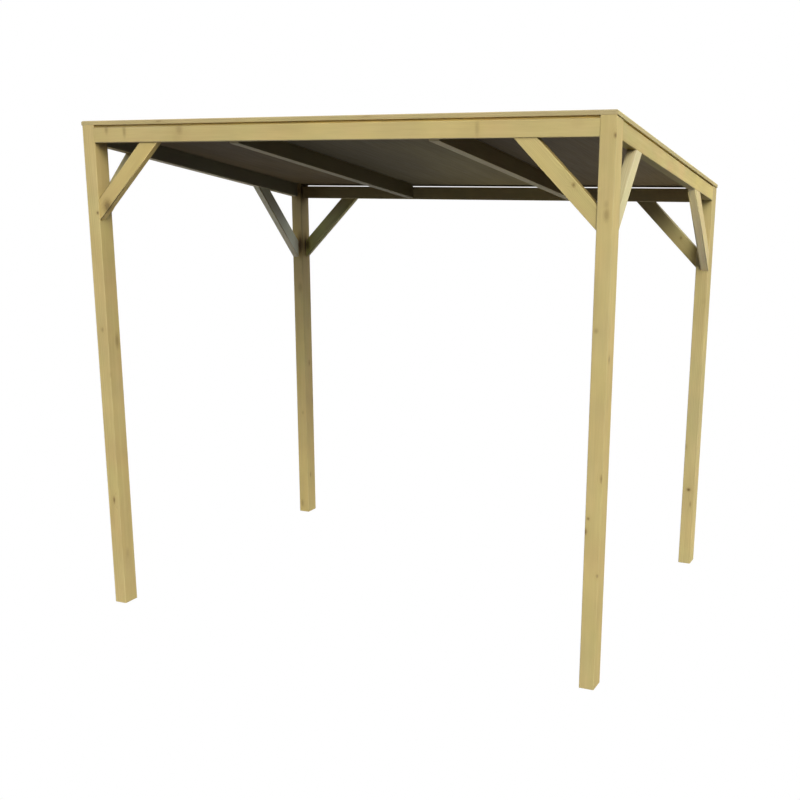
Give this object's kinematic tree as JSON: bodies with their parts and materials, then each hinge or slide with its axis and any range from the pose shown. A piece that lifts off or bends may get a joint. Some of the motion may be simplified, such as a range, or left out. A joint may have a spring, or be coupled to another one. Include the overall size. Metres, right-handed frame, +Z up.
{
  "type": "garden pergola",
  "caption": "Open lean-to garden pergola of planed timber, with knee-braced posts and beams, sloping rafters and a flat dark roof deck inside a mitred edge trim.",
  "frame": {"origin": "on the ground, under the middle of the pergola in plan", "axes": "+Z up, front (the high side) faces -Y, +X to the right seen from the front"},
  "size_m": [2.408, 1.833, 2.2295],
  "materials": {
    "timber": "planed, matt",
    "trim": "planed, matt",
    "deck": "dark stained, matt"
  },
  "bodies": {
    "root": {"post_front_left": "timber", "post_front_right": "timber", "post_back_left": "timber", "post_back_right": "timber", "beam_front": "timber", "beam_back": "timber", "beam_left": "timber", "beam_right": "timber", "rafter_left": "timber", "rafter_right": "timber", "brace_front_left": "timber", "brace_front_right": "timber", "brace_back_left": "timber", "brace_back_right": "timber", "brace_left_front": "timber", "brace_left_back": "timber", "brace_right_front": "timber", "brace_right_back": "timber", "deck_left": "deck", "deck_middle": "deck", "deck_right": "deck", "trim_front": "trim", "trim_back": "trim", "trim_left": "trim", "trim_right": "trim"}
  },
  "joints": []
}
